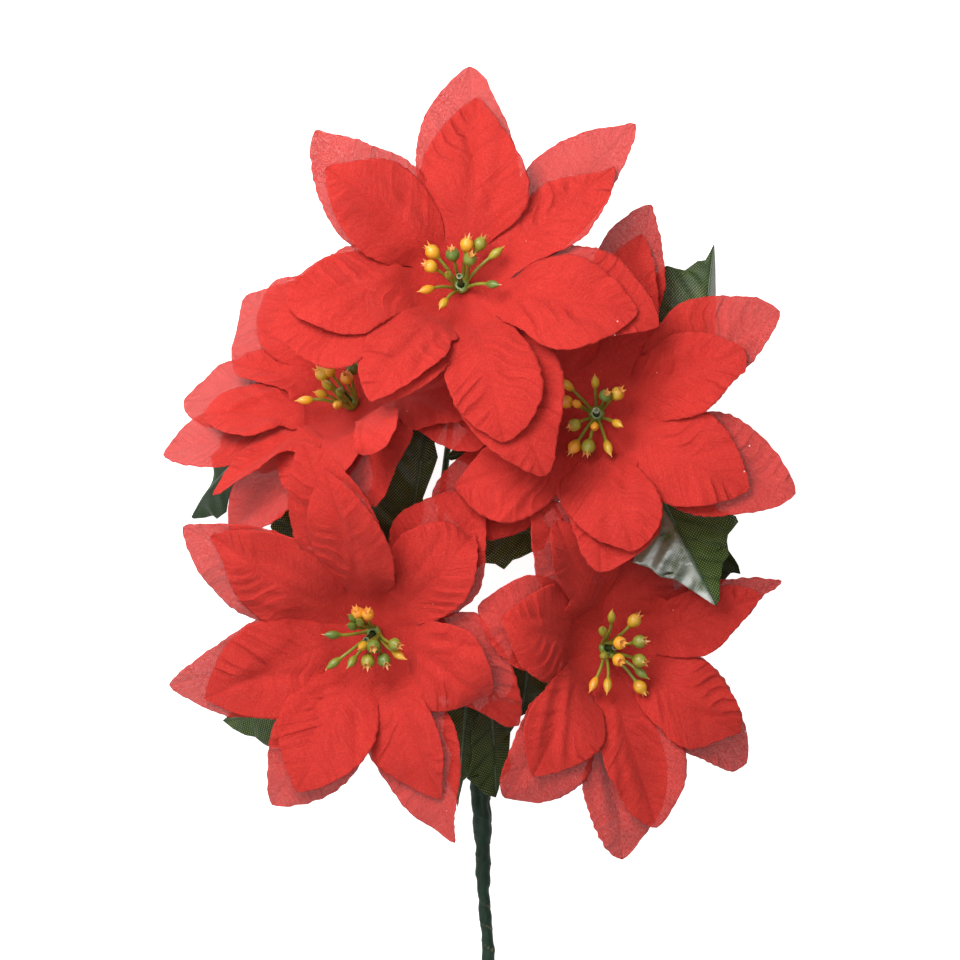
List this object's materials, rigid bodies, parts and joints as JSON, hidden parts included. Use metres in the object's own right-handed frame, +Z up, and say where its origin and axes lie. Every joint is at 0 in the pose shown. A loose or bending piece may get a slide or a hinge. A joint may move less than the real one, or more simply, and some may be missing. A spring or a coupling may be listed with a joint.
{
  "type": "artificial poinsettia bush",
  "caption": "Artificial poinsettia bush: double red fabric flowers with berry-like stamens and dark green leaves on one taped stem, laid on its back.",
  "frame": {"origin": "middle of the footprint, at the surface the bush lies on", "axes": "+Z up, the way most blooms face; +Y from the cut end of the stem towards the top bloom; +X to the right, seen from above with the stem towards the viewer"},
  "size_m": [0.2376, 0.3824, 0.1281],
  "materials": {
    "back_petals": "pressed woven fabric",
    "front_petals": "pressed woven fabric",
    "stamens": "moulded, sprayed yellow over green",
    "bloom_stem": "moulded over wire",
    "stem_tape": "wound waxed paper tape",
    "leaf": "coated woven fabric"
  },
  "bodies": {
    "root": {"top_back_petals": "back_petals", "top_front_petals": "front_petals", "top_stamens": "stamens", "top_stem": "bloom_stem", "left_back_petals": "back_petals", "left_front_petals": "front_petals", "left_stamens": "stamens", "left_stem": "bloom_stem", "right_back_petals": "back_petals", "right_front_petals": "front_petals", "right_stamens": "stamens", "right_stem": "bloom_stem", "low_left_back_petals": "back_petals", "low_left_front_petals": "front_petals", "low_left_stamens": "stamens", "low_left_stem": "bloom_stem", "low_right_back_petals": "back_petals", "low_right_front_petals": "front_petals", "low_right_stamens": "stamens", "low_right_stem": "bloom_stem", "main_stem": "stem_tape", "right_low_leaf": "leaf", "right_under_leaf": "leaf", "right_high_leaf": "leaf", "right_back_leaf": "leaf", "middle_leaf": "leaf", "middle_right_leaf": "leaf", "middle_low_leaf": "leaf", "left_leaf": "leaf", "left_low_leaf": "leaf", "low_left_leaf": "leaf", "stem_left_leaf": "leaf", "stem_right_leaf": "leaf", "low_right_leaf": "leaf", "back_leaf": "leaf"}
  },
  "joints": []
}
